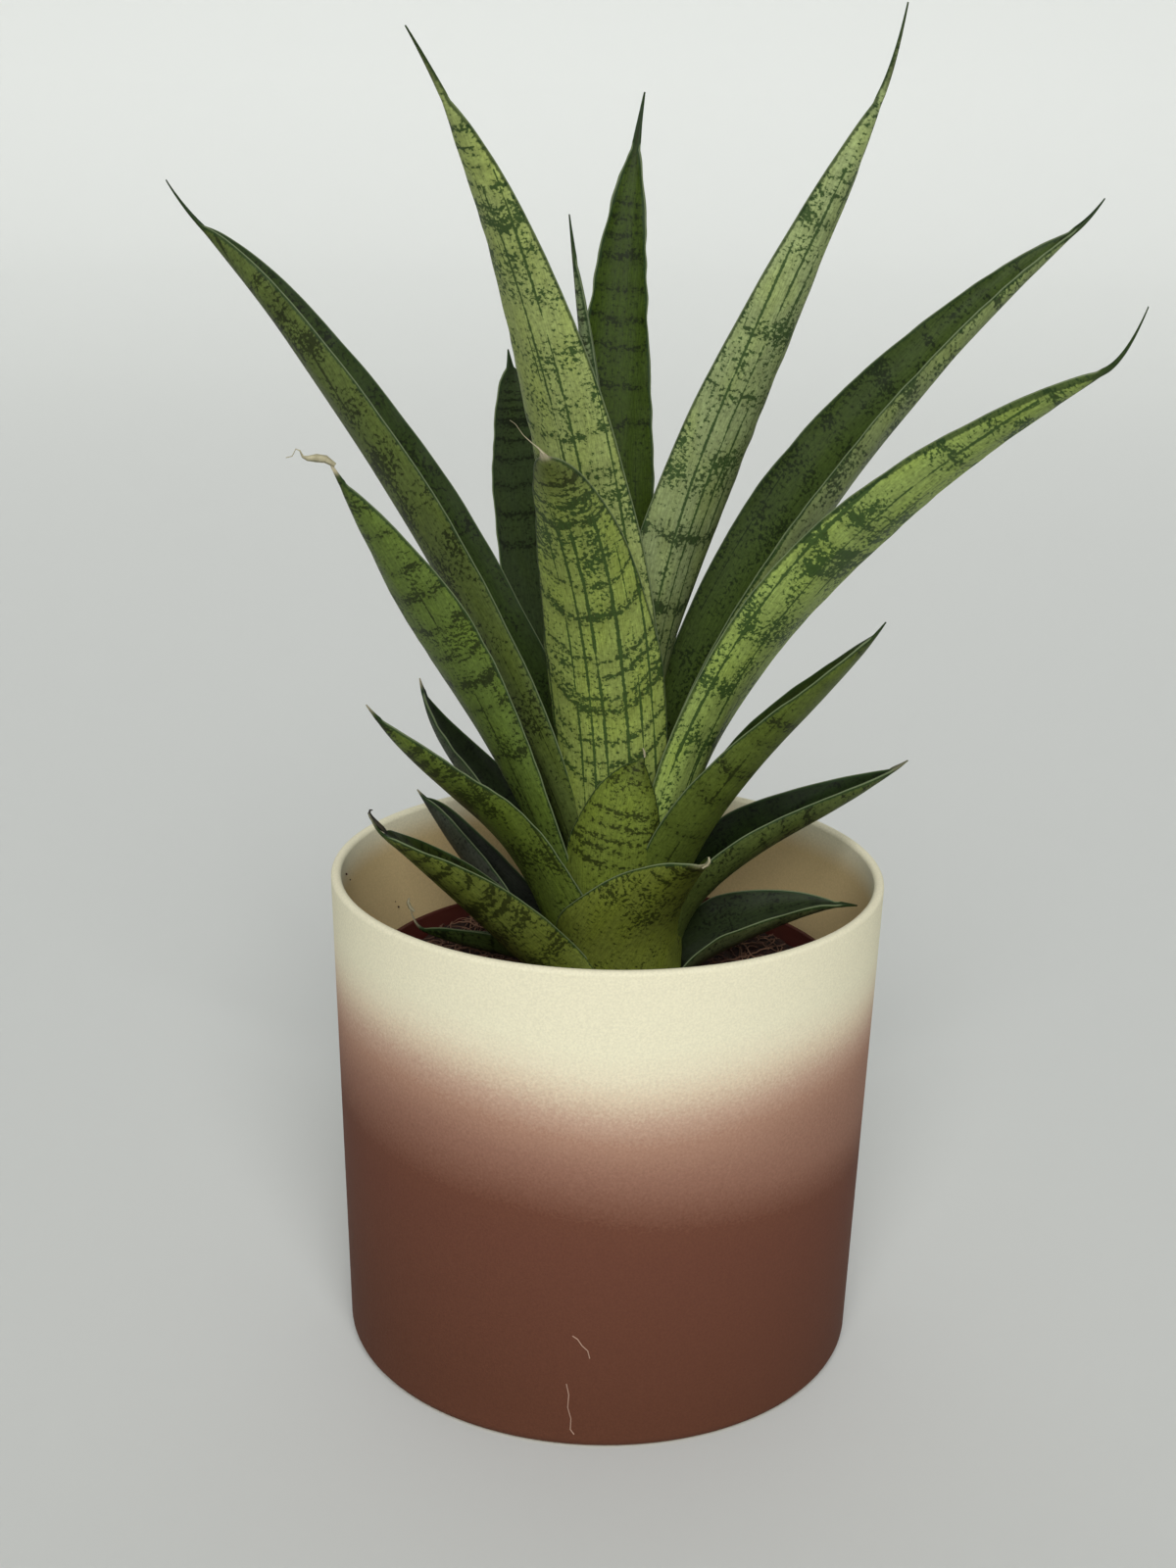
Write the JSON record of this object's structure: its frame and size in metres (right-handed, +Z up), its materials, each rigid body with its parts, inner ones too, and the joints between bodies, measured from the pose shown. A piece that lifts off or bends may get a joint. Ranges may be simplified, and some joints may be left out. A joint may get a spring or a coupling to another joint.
{
  "type": "potted snake plant",
  "caption": "Rosette of stiff, banded, spine-tipped leaves rooted in compost in a nursery pot that stands loose in a tapered two-tone cover pot",
  "frame": {"origin": "centre of the cover pot's underside, on the plane that the pot rests on", "axes": "+Z is up along the pot's axis and is the longest extent; -Y is the front, the side shown in the picture; +X is to the right seen from the front"},
  "size_m": [0.2184, 0.135, 0.3241],
  "materials": {
    "cover_pot": "matte sprayed colour, cream above fading to terracotta brown below",
    "nursery_pot": "satin moulded plastic",
    "compost": "rough fibrous coir",
    "crown": "matte fleshy plant stem",
    "leaf": "satin leaf skin"
  },
  "bodies": {
    "root": {"cover_pot": "cover_pot", "nursery_pot": "nursery_pot", "compost": "compost", "crown": "crown", "leaf_01_heart": "leaf", "leaf_02_back": "leaf", "leaf_03_front_left": "leaf", "leaf_04_front_right": "leaf", "leaf_05_back_left": "leaf", "leaf_06_right": "leaf", "leaf_07_left": "leaf", "leaf_08_right": "leaf", "leaf_09_front": "leaf", "leaf_10_left": "leaf", "leaf_11_right": "leaf", "leaf_12_back": "leaf", "leaf_13_left": "leaf", "leaf_14_back": "leaf", "leaf_15_front": "leaf", "leaf_16_right": "leaf", "leaf_17_left": "leaf", "leaf_18_back": "leaf", "leaf_19_left": "leaf", "leaf_20_front": "leaf", "leaf_21_right": "leaf", "leaf_22_left": "leaf", "leaf_23_left": "leaf"}
  },
  "joints": []
}
